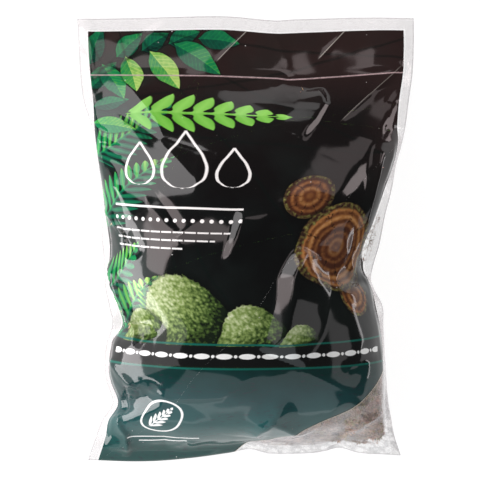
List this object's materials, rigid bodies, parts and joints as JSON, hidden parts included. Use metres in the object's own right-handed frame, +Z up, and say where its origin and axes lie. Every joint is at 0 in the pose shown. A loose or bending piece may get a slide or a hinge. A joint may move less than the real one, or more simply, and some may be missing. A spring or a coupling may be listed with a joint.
{
  "type": "bag of dried moss",
  "caption": "Heat-sealed clear film pouch, printed on its front with a curved clear window, filled fat with dried moss and lying on its back.",
  "frame": {"origin": "under the middle of the pouch, on the surface that it lies on", "axes": "+Z up out of the printed front, +Y from the filled end towards the flat header, +X to the right when the front is read"},
  "size_m": [0.2502, 0.3282, 0.0964],
  "materials": {
    "printed_film": "gloss",
    "clear_film": "gloss",
    "dried_moss": "matte"
  },
  "bodies": {
    "root": {"front_film": "printed_film", "back_film": "clear_film", "moss_fill": "dried_moss"}
  },
  "joints": []
}
